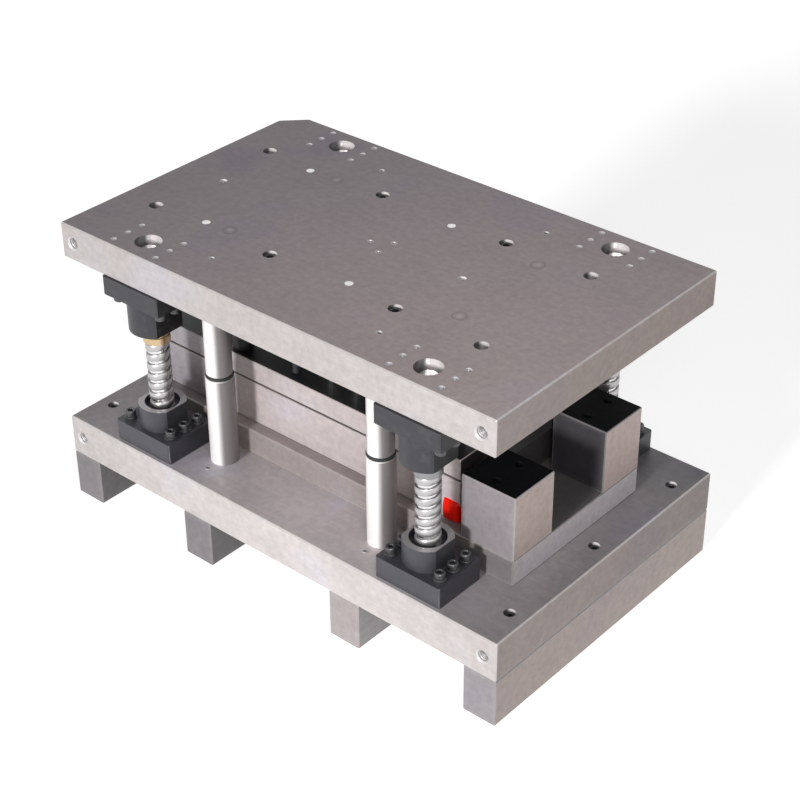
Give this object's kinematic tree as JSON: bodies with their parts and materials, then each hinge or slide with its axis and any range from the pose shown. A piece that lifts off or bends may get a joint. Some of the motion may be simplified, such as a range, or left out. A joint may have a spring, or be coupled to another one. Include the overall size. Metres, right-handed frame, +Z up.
{
  "type": "press die set",
  "caption": "Steel press die set: two shoes on guide posts with ball cages, sprung stripper plate, die block, heel blocks and stop posts on parallels.",
  "frame": {"origin": "centre of the footprint, on the surface that the parallels stand on", "axes": "+X along the long side to the right, +Y from the front to the rear, +Z up, the way the die opens"},
  "size_m": [0.678, 0.412, 0.39],
  "materials": {
    "shoe_steel": "surface-ground steel",
    "parallel_steel": "milled steel",
    "die_steel": "ground tool steel",
    "insert_steel": "fine-ground hardened steel",
    "black_oxide": "black-oxide cast steel",
    "black_screws": "black-oxide screws",
    "bright_steel": "hardened and polished",
    "stop_steel": "turned and polished",
    "spring_steel": "bright spring wire",
    "cage_brass": "satin brass",
    "black_rubber": "matte",
    "red_urethane": "satin polyurethane"
  },
  "bodies": {
    "lower_die": {"lower_shoe": "shoe_steel", "parallel_far_left": "parallel_steel", "parallel_mid_left": "parallel_steel", "parallel_mid_right": "parallel_steel", "parallel_far_right": "parallel_steel", "lower_shoe_screws": "black_screws", "die_base_plate": "die_steel", "die_block": "die_steel", "die_insert_left": "insert_steel", "die_insert_right": "insert_steel", "die_screws": "black_screws", "die_dowels": "bright_steel", "buffer_pad": "red_urethane", "heel_block_screws": "black_screws", "post_base_screws": "black_screws", "stop_rings": "black_rubber", "heel_block_front_right": "die_steel", "heel_block_rear_right": "die_steel", "post_base_front_left": "black_oxide", "post_base_front_right": "black_oxide", "post_base_rear_left": "black_oxide", "post_base_rear_right": "black_oxide", "guide_post_front_left": "bright_steel", "guide_post_front_right": "bright_steel", "guide_post_rear_left": "bright_steel", "guide_post_rear_right": "bright_steel", "post_spring_front_left": "spring_steel", "post_spring_front_right": "spring_steel", "post_spring_rear_left": "spring_steel", "post_spring_rear_right": "spring_steel", "lower_stop_front_left": "stop_steel", "lower_stop_front_right": "stop_steel", "lower_stop_rear_left": "stop_steel", "lower_stop_rear_right": "stop_steel"},
    "upper_die": {"upper_shoe": "shoe_steel", "guide_bushings": "bright_steel", "bushing_screws": "black_screws", "stop_post_screws": "black_screws", "punch_backing_plate": "die_steel", "punch_holder": "die_steel", "punch_plate_screws": "black_screws", "punch_plate_dowels": "bright_steel", "punches": "insert_steel", "pilot_punches": "insert_steel", "stripper_guide_pins": "bright_steel", "stripper_springs": "black_rubber", "bushing_housing_front_left": "black_oxide", "bushing_housing_front_right": "black_oxide", "bushing_housing_rear_left": "black_oxide", "bushing_housing_rear_right": "black_oxide", "upper_stop_front_left": "stop_steel", "upper_stop_front_right": "stop_steel", "upper_stop_rear_left": "stop_steel", "upper_stop_rear_right": "stop_steel"},
    "stripper": {"stripper_plate": "die_steel", "stripper_bolts": "black_screws"},
    "cages": {"ball_cages": "cage_brass"}
  },
  "joints": [
    {"name": "die_opening", "type": "slide", "parent": "lower_die", "child": "upper_die", "axis": [0, 0, 1], "range_m": [0, 0.08]},
    {"name": "cage_travel", "type": "slide", "parent": "lower_die", "child": "cages", "axis": [0, 0, 1], "range_m": [0, 0.04], "deforming": ["post_spring_front_left", "post_spring_front_right", "post_spring_rear_left", "post_spring_rear_right"]},
    {"name": "stripper_travel", "type": "slide", "parent": "upper_die", "child": "stripper", "axis": [0, 0, 1], "range_m": [0, 0.01], "stiffness_N_per_m": 40000, "springref_m": -0.006, "deforming": ["stripper_springs"]}
  ],
  "couplings": [
    {"joint": "cage_travel", "follows": "die_opening", "ratio": 0.5}
  ]
}
